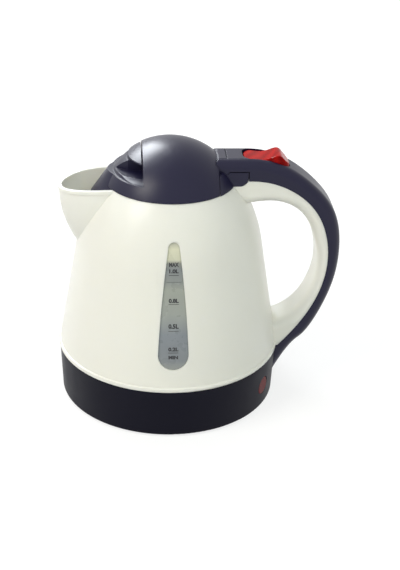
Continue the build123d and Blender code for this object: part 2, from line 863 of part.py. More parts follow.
with BuildPart() as heating_element:
    start = (360 - element_sweep) / 2
    element_z = spreader_z - element_tube_r
    with BuildSketch(Plane.XZ.rotated((0, 0, start))):
        with Locations((element_r, element_z)):
            Circle(element_tube_r)
    revolve(axis=Axis.Z, revolution_arc=element_sweep)
    for angle in (start, -start):
        with BuildSketch(Plane.XY.offset(element_z)):
            with Locations(at_angle(element_r, angle)):
                Circle(element_tube_r)
        extrude(amount=-element_tail)
        with BuildSketch(Plane.XY.offset(element_z - element_tail)):
            with Locations(at_angle(element_r, angle)):
                Circle(element_pin_r)
        extrude(amount=-element_pin_length)
        with Locations(at_angle(element_r, angle, element_z)):
            Sphere(element_tube_r)
finish(heating_element, "heating_element")

with BuildPart() as thermostat:
    add(ring(0, thermostat_r, spreader_z - thermostat_height, spreader_z))
    add(ring(0, snap_disc_r + fit, spreader_z - snap_disc_room, spreader_z), mode=Mode.SUBTRACT)
    with BuildSketch(Plane.XY.offset(spreader_z - thermostat_height)):
        with Locations((0, thermostat_r / 2), (0, -thermostat_r / 2)):
            Rectangle(terminal_width, terminal_thickness)
    extrude(amount=-terminal_length)
finish(thermostat, "thermostat")

with BuildPart() as snap_disc:
    snap_z = spreader_z - snap_disc_room
    add(ring(0, snap_disc_r, snap_z, snap_z + snap_disc_thickness))
finish(snap_disc, "snap_disc")

with BuildPart() as thermal_fuse:
    with BuildSketch(Plane.XZ):
        with Locations((-(thermostat_r + element_r) / 2, spreader_z - fuse_r)):
            Circle(fuse_r)
    extrude(amount=fuse_length / 2, both=True)
finish(thermal_fuse, "thermal_fuse")

# ---------------------------------------------------------------- inlet and pilot lamp
with BuildPart() as power_inlet:
    with BuildSketch(inlet_plane):
        RectangleRounded(inlet_width - 2 * fit, inlet_height - 2 * fit, inlet_corner)
    extrude(amount=-inlet_depth)
    with BuildSketch(inlet_plane):
        with BuildLine():
            half_w, half_h = socket_width / 2, socket_height / 2
            Polyline(
                (-half_w, -half_h),
                (half_w, -half_h),
                (half_w, half_h - socket_chamfer),
                (half_w - socket_chamfer, half_h),
                (socket_chamfer - half_w, half_h),
                (-half_w, half_h - socket_chamfer),
                close=True,
            )
        make_face()
    extrude(amount=-socket_depth, mode=Mode.SUBTRACT)
    with BuildSketch(inlet_plane.offset(-socket_depth)):
        with Locations((-pin_pitch / 2, 0), (pin_pitch / 2, 0), (0, pin_offset)):
            Rectangle(pin_thickness, pin_width)
    extrude(amount=-inlet_depth, mode=Mode.SUBTRACT)
finish(power_inlet, "power_inlet")

with BuildPart() as inlet_pins:
    with BuildSketch(inlet_plane.offset(-inlet_depth - pin_tail)):
        with Locations((-pin_pitch / 2, 0), (pin_pitch / 2, 0), (0, pin_offset)):
            Rectangle(pin_thickness, pin_width)
    extrude(amount=inlet_depth + pin_tail - pin_setback)
finish(inlet_pins, "inlet_pins")

with BuildPart() as pilot_lens:
    with BuildSketch(pilot_plane.offset(-pilot_sink - base_wall)):
        Circle(pilot_r)
    extrude(amount=base_wall + pilot_proud)
    fillet(pilot_lens.edges().filter_by(GeomType.CIRCLE), pilot_proud)
    with BuildSketch(pilot_plane.offset(-pilot_sink - base_wall)):
        Circle(pilot_r + pilot_flange)
    extrude(amount=-pilot_flange)
finish(pilot_lens, "pilot_lens")

with BuildPart() as pilot_lamp:
    with BuildSketch(pilot_plane.offset(-pilot_sink - base_wall - pilot_flange)):
        Circle(lamp_r)
    extrude(amount=-lamp_length)
    fillet(pilot_lamp.edges().filter_by(GeomType.CIRCLE), lamp_r / 3)
finish(pilot_lamp, "pilot_lamp")

# ---------------------------------------------------------------- switch and wiring in the handle
housing_floor_z = rocker_floor_z - switch_depth
with BuildPart() as switch_housing:
    add(
        box_between(
            (block_end_x + gap, -handle_half, housing_floor_z - switch_wall),
            (rocker_back_x + switch_back_room, handle_half, rocker_pivot_z + 2 * pin_r),
        )
    )
    add(
        box_between(
            (0, -rocker_half - rocker_gap, housing_floor_z),
            (FAR, rocker_half + rocker_gap, FAR),
        ),
        mode=Mode.SUBTRACT,
    )
    add(handle_hollow, mode=Mode.INTERSECT)
    with BuildSketch(Plane.XZ):
        with Locations((rocker_pivot_x, rocker_pivot_z)):
            Circle(pin_r)
    extrude(amount=rocker_half + switch_wall, both=True, mode=Mode.SUBTRACT)
finish(switch_housing, "switch_housing")

with BuildPart() as rocker_pin:
    with BuildSketch(Plane.XZ):
        with Locations((rocker_pivot_x, rocker_pivot_z)):
            Circle(pin_r)
    extrude(amount=rocker_half + switch_wall, both=True)
finish(rocker_pin, "rocker_pin")

contact_top_z = housing_floor_z + contact_height
with BuildPart() as switch_contacts:
    for contact_x in (rocker_pivot_x - contact_offset, rocker_pivot_x + contact_offset):
        with BuildSketch(Plane.XZ):
            with BuildLine():
                Polyline(
                    (contact_x - contact_width, housing_floor_z),
                    (contact_x + contact_width, housing_floor_z),
                    (contact_x + contact_width, housing_floor_z + contact_thickness),
                    (contact_x, housing_floor_z + contact_thickness),
                    (contact_x, contact_top_z),
                    (contact_x - contact_thickness, contact_top_z),
                    (contact_x - contact_thickness, housing_floor_z + contact_thickness),
                    (contact_x - contact_width, housing_floor_z + contact_thickness),
                    close=True,
                )
            make_face()
        extrude(amount=contact_width / 2, both=True)
finish(switch_contacts, "switch_contacts")

with BuildPart() as switch_rocker:
    rocker_bottom_z = rocker_floor_z + 2 * rocker_gap + pin_r
    with BuildSketch(Plane.XZ):
        with BuildLine():
            top = Spline(*[(rocker_front_x + x, neck_top_z + rise) for x, rise in rocker_shape])
            Polyline(
                top @ 0,
                (rocker_front_x, rocker_bottom_z),
                (rocker_back_x, rocker_bottom_z),
                (rocker_back_x, neck_top_z + rocker_heel),
                top @ 1,
            )
        make_face()
    extrude(amount=rocker_half, both=True)
    with BuildSketch(Plane.XY):
        with Locations(((rocker_front_x + rocker_back_x) / 2, 0)):
            RectangleRounded(rocker_back_x - rocker_front_x, 2 * rocker_half, rocker_corner)
    extrude(amount=FAR, mode=Mode.INTERSECT)
    fillet(switch_rocker.faces().sort_by(Axis.Z)[-1].edges(), rocker_edge)
    with BuildSketch(Plane.XZ):
        with Locations((rocker_pivot_x, rocker_pivot_z)):
            Circle(2 * pin_r)
    extrude(amount=rocker_half, both=True)
    foot_x = rocker_pivot_x + contact_offset
    foot_drop = contact_offset * sin(radians(rocker_travel))
    add(
        box_between(
            (foot_x - contact_width, -contact_width / 2, contact_top_z + foot_drop + gap),
            (foot_x, contact_width / 2, rocker_pivot_z),
        )
    )
    with BuildSketch(Plane.XZ):
        with Locations((rocker_pivot_x, rocker_pivot_z)):
            Circle(pin_r + running)
    extrude(amount=rocker_half, both=True, mode=Mode.SUBTRACT)
finish(switch_rocker, "switch_rocker")

with BuildPart() as steam_holder:
    add(
        box_between(
            (steam_holder_x, -wire_y + 2 * wire_r, steam_z - handle_width),
            (steam_holder_x + steam_holder_thickness, wire_y - 2 * wire_r, FAR),
        )
    )
    add(handle_hollow, mode=Mode.INTERSECT)
    with BuildSketch(Plane.YZ.offset(steam_holder_x)):
        with Locations((0, steam_z)):
            Circle(steam_disc_r + fit)
    extrude(amount=steam_holder_thickness / 2, mode=Mode.SUBTRACT)
finish(steam_holder, "steam_holder")

with BuildPart() as steam_disc:
    with BuildSketch(Plane.YZ.offset(steam_holder_x + steam_holder_thickness / 2)):
        with Locations((0, steam_z)):
            Circle(steam_disc_r)
    extrude(amount=-steam_disc_thickness)
finish(steam_disc, "steam_disc")

with BuildPart() as handle_leads:
    for side in (-wire_y, wire_y):
        with BuildLine(Plane.XZ.offset(-side)) as route:
            start = (lead_route[0][0], housing_floor_z - switch_wall)
            end = (lead_route[-1][0] - lead_tail, lead_route[-1][1])
            FilletPolyline(start, *lead_route, end, radius=lead_bends)
        with BuildSketch(Plane(origin=route.line @ 0, z_dir=route.line % 0)):
            Circle(wire_r)
        sweep(path=route.line)
finish(handle_leads, "handle_leads")

# ---------------------------------------------------------------- lid
web_tip_x = tab_back_x - web_length - web_nose
tab_space = box_between((-FAR, -FAR, tab_z), (tab_back_x, FAR, FAR))


def web_form(inset):
    """Upright web under the tab, which tapers towards the spout."""
    half = web_half - inset
    shoulder_x = tab_back_x - web_length
    with BuildPart() as form:
        with BuildSketch(Plane.XY):
            with BuildLine():
                Polyline(
                    (0, half),
                    (shoulder_x, half),
                    (web_tip_x + 2 * inset, 0),
                    (shoulder_x, -half),
                    (0, -half),
                    close=True,
                )
            make_face()
        extrude(amount=FAR)
    return form.part


def nose_limit(inset):
    """Space that the nose may fill: the spout's inside below the rim, anything above it."""
    with BuildPart() as limit:
        add(spout_form(spout_wall + inset))
        add(box_between((-FAR, -FAR, mouth_z), (FAR, FAR, FAR)))
        add(ring(0, liner_r + lid_seal_width + nose_gap, 0, lid_floor_z), mode=Mode.SUBTRACT)
    return limit.part


def nose_form(inset, clearance):
    """Cone of the lid's nose, cut to the inside of the spout."""
    slope = tan(radians(nose_slope))
    side = nose_x + nose_r - inset / sin(radians(nose_slope))
    low_z = mouth_z - nose_depth
    high_z = scoop_z - inset
    with BuildPart() as form:
        with BuildSketch(Plane.XZ):
            with BuildLine():
                Polyline(
                    (nose_x, low_z),
                    (side + (mouth_z - low_z) / slope, low_z),
                    (side + (mouth_z - high_z) / slope, high_z),
                    (nose_x, high_z),
                    close=True,
                )
            make_face()
        revolve(axis=Axis((nose_x, 0, 0), (0, 0, 1)))
        add(nose_limit(inset + clearance), mode=Mode.INTERSECT)
    return form.part


with BuildPart() as bowl:
    with BuildSketch(Plane.XZ):
        with BuildLine():
            wall = TangentArc(
                (bowl_x + bowl_floor_r, scoop_z), (bowl_x + bowl_top_r, tab_z), tangent=(-1, 0)
            )
            Polyline(wall @ 1, (FAR, tab_z), (FAR, scoop_z), wall @ 0)
        make_face()
    revolve(axis=Axis((bowl_x, 0, 0), (0, 0, 1)))

with BuildPart() as finger_pockets:
    with BuildSketch(Plane.XZ) as pocket_side:
        with Locations((tab_back_x, tab_z)):
            Rectangle(pocket_length, pocket_depth, align=(Align.MAX, Align.MAX))
        low_corner = pocket_side.vertices().group_by(Axis.Y)[0].sort_by(Axis.X)[0]
        fillet(low_corner, pocket_round)
    extrude(amount=FAR, both=True)
    add(web_form(0), mode=Mode.SUBTRACT)

with BuildPart() as bank:
    add(dome_form(bank_inset, scoop_z))
    add(bowl.part, mode=Mode.SUBTRACT)
    add(finger_pockets.part, mode=Mode.SUBTRACT)

with BuildPart() as scoops:
    add(box_between((-FAR, -FAR, scoop_z), (tab_back_x, FAR, tab_z)))
    add(bank.part, mode=Mode.SUBTRACT)

with BuildPart() as web_core:
    add(dome_form(bank_inset + lid_wall, lid_floor_z))
    add(web_form(lid_wall), mode=Mode.INTERSECT)
    add(box_between((-FAR, -FAR, tab_z - lid_wall), (FAR, FAR, FAR)), mode=Mode.SUBTRACT)

with BuildPart() as lid_hollow:
    add(dome_form(lid_wall, lid_floor_z))
    add(
        box_between((-FAR, -FAR, scoop_z - lid_wall), (tab_back_x + lid_wall, FAR, FAR)),
        mode=Mode.SUBTRACT,
    )
    add(web_core.part)
    add(nose_form(lid_wall, nose_gap))
    add(box_between((lid_back_x - lid_back_wall, -FAR, 0), (FAR, FAR, FAR)), mode=Mode.SUBTRACT)

with BuildPart() as lid_knuckle:
    add(hinge_rod(knuckle_r, knuckle_half))
    add(handle_whole, mode=Mode.INTERSECT)

latch_slot_half = latch_width / 2 + gap
liner_low_z = mouth_z - liner_depth
post_circle = liner_r - liner_wall - 2 * post_r
with BuildPart() as lid_posts:
    with BuildSketch(Plane.XY.offset(liner_low_z + liner_wall)):
        with PolarLocations(post_circle, post_count, start_angle=post_angle):
            Circle(post_r)
    extrude(amount=neck_rise)
    add(dome_form(lid_wall / 2, liner_low_z), mode=Mode.INTERSECT)
    add(
        box_between(
            (-FAR, -FAR, scoop_z - lid_wall / 2), (tab_back_x + lid_wall, FAR, FAR)
        ),
        mode=Mode.SUBTRACT,
    )

with BuildPart() as latch_lugs:
    with BuildSketch(Plane.XZ):
        with Locations((latch_pin_x, latch_pin_z)):
            Circle(latch_lug_r)
    extrude(amount=latch_pin_half, both=True)
    add(box_between((-FAR, -latch_lug_inner, 0), (FAR, latch_lug_inner, FAR)), mode=Mode.SUBTRACT)

with BuildPart() as lid_dome:
    add(dome_form(0, lid_floor_z))
    add(nose_form(0, nose_gap))
    add(box_between((lid_back_x, -FAR, 0), (FAR, FAR, FAR)), mode=Mode.SUBTRACT)
    add(tab_space, mode=Mode.SUBTRACT)
    add(scoops.part, mode=Mode.SUBTRACT)
    add(lid_hollow.part, mode=Mode.SUBTRACT)
    add(latch_lugs.part)
    add(lid_posts.part)
    add(lid_knuckle.part)
    add(hinge_rod(knuckle_gap_r, handle_half + gap, knuckle_half), mode=Mode.SUBTRACT)
    add(hinge_rod(pin_r + running, knuckle_half), mode=Mode.SUBTRACT)
    add(
        box_between(
            (latch_pin_x - 3 * latch_lug_r, -latch_lug_inner, tab_z - 2 * lid_wall),
            (tab_back_x - gap, latch_lug_inner, tab_z),
        ),
        mode=Mode.SUBTRACT,
    )
    with BuildSketch(Plane.XZ):
        with Locations((latch_pin_x, latch_pin_z)):
            Circle(latch_pin_r)
    extrude(amount=latch_pin_half, both=True, mode=Mode.SUBTRACT)
    with BuildSketch(Plane.XY.offset(liner_low_z + liner_wall)):
        with PolarLocations(post_circle, post_count, start_angle=post_angle):
            Circle(screw_r + running)
    extrude(amount=lid_screw_length, mode=Mode.SUBTRACT)
finish(lid_dome, "lid_dome")

liner_top_z = lid_floor_z + liner_wall
liner_rim_r = sqrt((dome_r - lid_wall) ** 2 - (liner_top_z - dome_z) ** 2) - fit
notch_x = latch_pin_x - (latch_pin_z - liner_top_z) / tan(radians(nose_slope)) + 2 * latch_thickness
notch_half = latch_slot_half + gap
back_room_x = lid_back_x - lid_back_wall - fit

with BuildPart() as lid_liner:
    add(ring(0, liner_r, liner_low_z, lid_floor_z))
    add(ring(0, liner_rim_r, lid_floor_z, liner_top_z))
    add(box_between((back_room_x, -FAR, mouth_z - gap), (FAR, FAR, FAR)), mode=Mode.SUBTRACT)
    add(ring(0, liner_r - liner_wall, liner_low_z + liner_wall, FAR), mode=Mode.SUBTRACT)
    add(
        ring(liner_r - lid_seal_width, FAR, mouth_z - gap - lid_seal_height, mouth_z - gap),
        mode=Mode.SUBTRACT,
    )
    add(box_between((-FAR, -notch_half, 0), (notch_x, notch_half, FAR)), mode=Mode.SUBTRACT)
    with BuildSketch(Plane.XY.offset(liner_low_z)):
        with PolarLocations(post_circle, post_count, start_angle=post_angle):
            Circle(screw_r + fit)
    extrude(amount=liner_wall, mode=Mode.SUBTRACT)
finish(lid_liner, "lid_liner")

with BuildPart() as lid_screws:
    for index in range(post_count):
        spot = at_angle(post_circle, post_angle + index * 360 / post_count, liner_low_z)
        add(screw(spot, lid_screw_length, 1))
finish(lid_screws, "lid_screws")

with BuildPart() as lid_seal:
    add(
        ring(
            liner_r - lid_seal_width,
            liner_r + lid_seal_width,
            mouth_z - gap - lid_seal_height,
            mouth_z - gap,
        )
    )
    add(box_between((-FAR, -notch_half, 0), (notch_x, notch_half, FAR)), mode=Mode.SUBTRACT)
finish(lid_seal, "lid_seal")

with BuildPart() as latch_pin:
    with BuildSketch(Plane.XZ):
        with Locations((latch_pin_x, latch_pin_z)):
            Circle(latch_pin_r)
    extrude(amount=latch_pin_half, both=True)
finish(latch_pin, "latch_pin")

with BuildPart() as latch_pocket:
    with BuildSketch(Plane.XZ):
        with Locations((latch_pin_x, latch_pin_z)):
            Circle(latch_lug_r + gap)
    extrude(amount=latch_pin_half + gap, both=True)
    add(box_between((-FAR, -latch_width / 2, 0), (FAR, latch_width / 2, FAR)), mode=Mode.SUBTRACT)

with BuildPart() as lid_latch:
    add(dome_form(tab_step, tab_z + gap))
    fillet(lid_latch.edges().filter_by(GeomType.CIRCLE).group_by(Axis.Z)[0], tab_edge)
    add(box_between((tab_back_x - tab_seam, -FAR, 0), (FAR, FAR, FAR)), mode=Mode.SUBTRACT)
    add(latch_pocket.part, mode=Mode.SUBTRACT)
    with BuildSketch(Plane.XZ):
        with Locations((latch_pin_x, latch_pin_z)):
            Circle(latch_lug_r)
    extrude(amount=latch_lug_inner - gap)
    hook_start = latch_bar_reach + latch_bar_r + gap
    half = latch_thickness / 2
    with BuildSketch(Plane.XZ):
        with BuildLine():
            Polyline(
                on_latch(0, -half),
                on_latch(hook_start + latch_hook, -half),
                on_latch(hook_start + latch_hook, half),
                on_latch(hook_start + latch_hook / 2, bar_offset + latch_bite),
                on_latch(hook_start, bar_offset + latch_bite),
                on_latch(hook_start, half),
                on_latch(0, half),
                close=True,
            )
        make_face()
    extrude(amount=latch_width / 2, both=True)
    with BuildSketch(Plane.XZ):
        with Locations((latch_pin_x, latch_pin_z)):
            Circle(latch_pin_r + running)
    extrude(amount=latch_lug_inner, both=True, mode=Mode.SUBTRACT)
finish(lid_latch, "lid_latch")

with BuildPart() as latch_spring:
    coil_y = latch_width / 2 + gap + latch_wire_r
    with BuildLine() as wire:
        coil = Helix(
            latch_coil_pitch,
            latch_coil_pitch * latch_coils,
            latch_coil_r,
            center=(latch_pin_x, coil_y, latch_pin_z),
            direction=(0, 1, 0),
        )
        Line(coil @ 0 - latch_leg * (coil % 0), coil @ 0)
        Line(coil @ 1, coil @ 1 + latch_leg * (coil % 1))
    with BuildSketch(Plane(origin=wire.line @ 0, z_dir=wire.line % 0)):
        Circle(latch_wire_r)
    sweep(path=wire.line)
finish(latch_spring, "latch_spring")
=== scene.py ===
# %% [markdown]
# # A one litre electric kettle
#
# The kettle has a cream jug with a beak spout, a dark base band, a dark domed lid, a loop handle
# in two colours, a red rocker switch and a long level window.  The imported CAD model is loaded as
# a fixed frame.  Its solids keep their place, and this script gives them their finishes and adds
# what is too thin to model as a solid, which is the ink of the level marks.

from math import pi

import bmesh
import bpy
from mathutils import Matrix, Vector
from mathutils.bvhtree import BVHTree


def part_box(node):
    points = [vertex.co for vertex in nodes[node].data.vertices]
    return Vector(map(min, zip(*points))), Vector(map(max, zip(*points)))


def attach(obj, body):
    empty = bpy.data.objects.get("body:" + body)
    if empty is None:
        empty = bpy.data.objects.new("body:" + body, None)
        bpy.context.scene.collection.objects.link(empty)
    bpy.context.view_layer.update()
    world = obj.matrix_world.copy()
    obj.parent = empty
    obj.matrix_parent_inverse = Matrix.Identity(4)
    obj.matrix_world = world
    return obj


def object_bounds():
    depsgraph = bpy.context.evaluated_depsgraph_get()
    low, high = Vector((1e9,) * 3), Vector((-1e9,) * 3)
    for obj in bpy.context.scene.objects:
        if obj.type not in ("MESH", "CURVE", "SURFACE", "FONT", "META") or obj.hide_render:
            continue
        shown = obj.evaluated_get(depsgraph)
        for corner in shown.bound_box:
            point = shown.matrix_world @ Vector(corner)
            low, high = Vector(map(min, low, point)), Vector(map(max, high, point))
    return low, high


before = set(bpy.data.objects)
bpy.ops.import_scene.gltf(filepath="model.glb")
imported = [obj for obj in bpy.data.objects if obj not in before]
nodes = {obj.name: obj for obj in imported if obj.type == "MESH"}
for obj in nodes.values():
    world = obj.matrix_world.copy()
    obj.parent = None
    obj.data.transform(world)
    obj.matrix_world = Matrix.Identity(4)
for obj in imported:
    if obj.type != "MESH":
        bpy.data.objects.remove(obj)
cad_box = [list(corner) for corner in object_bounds()]
MM = 0.001
scene = bpy.context.scene
print("CAD box in mm:", [[round(v / MM, 1) for v in corner] for corner in cad_box])

# %% [markdown]
# ## Camera
#
# A product shot is taken from a little above, with a fairly long lens, so that the kettle keeps
# its proportions.  An aimed empty would also point the camera, but then it could not lean.  Here
# the camera gets its right and up directions as they are, because a hand-held camera leans a
# little.

# %% Camera
LENS_MM = 80.7
SENSOR_MM = 36
CAMERA_SPOT = Vector((-0.0605, -0.7778, 0.4776))
CAMERA_RIGHT = Vector((0.99744, -0.06704, 0.02488))
CAMERA_UP = Vector((0.00872, 0.45926, 0.88826))


def place_camera(spot, right, up):
    """Camera that looks at right angles to the two given directions."""
    lens = bpy.data.cameras.new("camera")
    lens.lens = LENS_MM
    lens.sensor_width = SENSOR_MM
    camera = bpy.data.objects.new("camera", lens)
    back = right.cross(up).normalized()
    turn = Matrix((right, back.cross(right), back)).transposed()
    camera.matrix_world = Matrix.Translation(spot) @ turn.to_4x4()
    scene.collection.objects.link(camera)
    return camera


scene.camera = place_camera(CAMERA_SPOT, CAMERA_RIGHT, CAMERA_UP)
print("camera at", [round(v, 3) for v in scene.camera.location])

# %% [markdown]
# ## Node helpers
#
# Every finish below is a small net of nodes.  The same few steps come back in each one: noise of
# a certain size, a value that wanders between two limits, and a mix of two colours.  Short
# helpers keep the finishes readable.  Sizes are given in millimetres of the real surface, since
# a grain looks right only at its true scale.


# %% Helpers for node nets
NOISE_LOW = 0.3  # nearly all of a noise's values lie between these two
NOISE_HIGH = 0.7
EDGE_SAMPLES = 6


def new_material(name):
    """Empty material with its output."""
    material = bpy.data.materials.new(name)
    material.use_nodes = True
    tree = material.node_tree
    tree.nodes.clear()
    output = tree.nodes.new("ShaderNodeOutputMaterial")
    return material, tree, output


def noise(tree, size_mm, detail=2.0, stretch=(1, 1, 1)):
    """Noise whose lumps are about as wide as the size; a stretch below 1 draws them out."""
    place = tree.nodes.new("ShaderNodeTexCoord")
    mapping = tree.nodes.new("ShaderNodeMapping")
    mapping.inputs["Scale"].default_value = stretch
    lumps = tree.nodes.new("ShaderNodeTexNoise")
    lumps.inputs["Scale"].default_value = 1 / (size_mm * MM)
    lumps.inputs["Detail"].default_value = detail
    tree.links.new(place.outputs["Object"], mapping.inputs["Vector"])
    tree.links.new(mapping.outputs[0], lumps.inputs["Vector"])
    return lumps.outputs[0]


def wander(tree, factor, low, high):
    """Value that wanders between two limits as the factor does."""
    spread = tree.nodes.new("ShaderNodeMapRange")
    spread.inputs["From Min"].default_value = NOISE_LOW
    spread.inputs["From Max"].default_value = NOISE_HIGH
    spread.inputs["To Min"].default_value = low
    spread.inputs["To Max"].default_value = high
    tree.links.new(factor, spread.inputs["Value"])
    return spread.outputs[0]


def blend_colours(tree, factor, first, second):
    """Colour that wanders between two colours."""
    mix = tree.nodes.new("ShaderNodeMix")
    mix.data_type = "RGBA"
    mix.inputs["A"].default_value = (*first, 1)
    mix.inputs["B"].default_value = (*second, 1)
    tree.links.new(factor, mix.inputs["Factor"])
    return mix.outputs["Result"]


def relief(tree, height, depth_mm, edge_mm=0.0):
    """Bump of a given depth, on edges that look rounded where an edge radius is given."""
    bump = tree.nodes.new("ShaderNodeBump")
    bump.inputs["Strength"].default_value = 1.0  # the depth alone sets how far it stands out
    bump.inputs["Distance"].default_value = depth_mm * MM
    tree.links.new(height, bump.inputs["Height"])
    if edge_mm:
        edge = tree.nodes.new("ShaderNodeBevel")
        edge.samples = EDGE_SAMPLES
        edge.inputs["Radius"].default_value = edge_mm * MM
        tree.links.new(edge.outputs[0], bump.inputs["Normal"])
    return bump.outputs[0]


def principled(tree, output, **sockets):
    """Principled shader with links where a socket is given, and plain values elsewhere."""
    shader = tree.nodes.new("ShaderNodeBsdfPrincipled")
    for label, value in sockets.items():
        socket = shader.inputs[label.replace("_", " ")]
        if isinstance(value, bpy.types.NodeSocket):
            tree.links.new(value, socket)
        else:
            socket.default_value = value
    tree.links.new(shader.outputs[0], output.inputs["Surface"])
    return shader


print("helpers ready; sizes in them are in millimetres of", MM, "scene units")

# %% [markdown]
# ## Floor
#
# The kettle stands on a sheet of white paper that runs far back, so that there is no horizon.
# The paper could be lit until it turns white, but the same light would bleach the cream jug.
# Instead the paper glows for rays from the camera, from a gloss and through glass, which lifts
# it to plain white there and leaves a pale shadow.  It glows more far away, where the lamps no
# longer reach.  All other rays meet normal white paper.

# %% Floor
FLOOR_SIZE = 12.0
FLOOR_DROP = 0.2 * MM
PAPER = (0.70, 0.70, 0.69)
FIBRE_MM = 0.6
FIBRE_DEPTH_MM = 0.03
# what the camera sees is a glow plus a share of the light that falls on the paper
PAPER_SHADE = (0.30, 0.30, 0.30)
GLOW_NEAR = 0.76
GLOW_FAR = 1.0
# the glow rises between these two distances from the kettle
GLOW_START = 0.15
GLOW_END = 0.80


def seen_directly(tree):
    """1 for rays from the camera, from a gloss or through glass, and 0 for all others."""
    path = tree.nodes.new("ShaderNodeLightPath")
    total = path.outputs["Is Camera Ray"]
    for label in ("Is Glossy Ray", "Is Transmission Ray"):
        both = tree.nodes.new("ShaderNodeMath")
        both.operation = "MAXIMUM"
        tree.links.new(total, both.inputs[0])
        tree.links.new(path.outputs[label], both.inputs[1])
        total = both.outputs[0]
    return total


def paper_glow(tree):
    """Glow that rises with the distance from the kettle."""
    glow = tree.nodes.new("ShaderNodeEmission")
    place = tree.nodes.new("ShaderNodeTexCoord")
    distance = tree.nodes.new("ShaderNodeVectorMath")
    distance.operation = "LENGTH"
    rise = tree.nodes.new("ShaderNodeMapRange")
    rise.inputs["From Min"].default_value = GLOW_START
    rise.inputs["From Max"].default_value = GLOW_END
    rise.inputs["To Min"].default_value = GLOW_NEAR
    rise.inputs["To Max"].default_value = GLOW_FAR
    tree.links.new(place.outputs["Object"], distance.inputs[0])
    tree.links.new(distance.outputs["Value"], rise.inputs["Value"])
    tree.links.new(rise.outputs[0], glow.inputs["Strength"])
    return glow


def paper_material():
    """White paper with a fine fibre, which glows a little where it is seen directly."""
    material, tree, output = new_material("paper")
    fibre = relief(tree, noise(tree, FIBRE_MM), FIBRE_DEPTH_MM)
    plain = tree.nodes.new("ShaderNodeBsdfDiffuse")
    plain.inputs["Color"].default_value = (*PAPER, 1)
    shade = tree.nodes.new("ShaderNodeBsdfDiffuse")
    shade.inputs["Color"].default_value = (*PAPER_SHADE, 1)
    white = tree.nodes.new("ShaderNodeAddShader")
    choice = tree.nodes.new("ShaderNodeMixShader")
    tree.links.new(fibre, plain.inputs["Normal"])
    tree.links.new(shade.outputs[0], white.inputs[0])
    tree.links.new(paper_glow(tree).outputs[0], white.inputs[1])
    tree.links.new(seen_directly(tree), choice.inputs["Fac"])
    tree.links.new(plain.outputs[0], choice.inputs[1])
    tree.links.new(white.outputs[0], choice.inputs[2])
    tree.links.new(choice.outputs[0], output.inputs["Surface"])
    return material


def make_floor():
    """Large flat sheet just under the feet."""
    mesh = bpy.data.meshes.new("paper_floor")
    build = bmesh.new()
    bmesh.ops.create_grid(build, x_segments=2, y_segments=2, size=FLOOR_SIZE / 2)
    build.to_mesh(mesh)
    build.free()
    sheet = bpy.data.objects.new("paper_floor", mesh)
    sheet.location.z = -FLOOR_DROP
    mesh.materials.append(paper_material())
    scene.collection.objects.link(sheet)
    return sheet


print("floor:", make_floor().name)

# %% [markdown]
# ## World and lamps
#
# A room that is bright all round would flatten the jug's shape, so the world's light is dim, a
# little stronger on the spout's side, and soft boxes do the work: one behind and to the left, a
# warm one in front on the left, and a faint cool one in front on the right.  The camera, a gloss
# and glass see the world as plain white, as the product stands on white.  The highlight on the
# dome needs a bright lamp behind, which would bleach the back of the jug.  So that lamp has a
# twin that shows only in reflections.

# %% World
WORLD_LEFT = 0.46
WORLD_RIGHT = 0.30
WORLD_COLOUR = (0.96, 1.0, 0.99)


def make_world():
    """Dim light from all round, which the camera, a gloss and glass see as white."""
    world = bpy.data.worlds.new("studio")
    world.use_nodes = True
    tree = world.node_tree
    tree.nodes.clear()
    output = tree.nodes.new("ShaderNodeOutputWorld")
    room = tree.nodes.new("ShaderNodeBackground")
    room.inputs["Color"].default_value = (*WORLD_COLOUR, 1)
    place = tree.nodes.new("ShaderNodeTexCoord")
    parts = tree.nodes.new("ShaderNodeSeparateXYZ")
    slope = tree.nodes.new("ShaderNodeMapRange")
    slope.inputs["From Min"].default_value = -1  # a direction's X runs from -1 to 1
    slope.inputs["To Min"].default_value = WORLD_LEFT
    slope.inputs["To Max"].default_value = WORLD_RIGHT
    backdrop = tree.nodes.new("ShaderNodeBackground")
    backdrop.inputs["Color"].default_value = (1, 1, 1, 1)
    choice = tree.nodes.new("ShaderNodeMixShader")
    tree.links.new(place.outputs["Generated"], parts.inputs[0])
    tree.links.new(parts.outputs["X"], slope.inputs["Value"])
    tree.links.new(slope.outputs[0], room.inputs["Strength"])
    tree.links.new(seen_directly(tree), choice.inputs["Fac"])
    tree.links.new(room.outputs[0], choice.inputs[1])
    tree.links.new(backdrop.outputs[0], choice.inputs[2])
    tree.links.new(choice.outputs[0], output.inputs["Surface"])
    return world


scene.world = make_world()
scene.view_settings.view_transform = "Standard"
print("world strength from", WORLD_LEFT, "on the left to", WORLD_RIGHT, "on the right")

# %% Lamps
KETTLE_MIDDLE = Vector((0, 0, 0.09))
BACK_LEFT = (-0.38, 0.65, 0.66)
FRONT_LEFT = (-0.63, -0.37, 0.68)
FRONT_RIGHT = (0.35, -0.66, 0.68)
SKY_WHITE = (0.93, 0.97, 1.0)
WARM_WHITE = (1.0, 0.97, 0.90)
COOL_WHITE = (0.92, 1.0, 0.95)


def soft_box(name, direction, distance, width, height, brightness, colour):
    """Rectangular lamp that faces the kettle; brightness is that of its own surface."""
    lamp = bpy.data.lights.new(name, "AREA")
    lamp.shape = "RECTANGLE"
    lamp.size = width
    lamp.size_y = height
    lamp.energy = brightness * pi * width * height
    lamp.color = colour
    thing = bpy.data.objects.new(name, lamp)
    way = Vector(direction).normalized()
    thing.location = KETTLE_MIDDLE + distance * way
    thing.rotation_euler = (-way).to_track_quat("-Z", "Y").to_euler()
    scene.collection.objects.link(thing)
    return thing


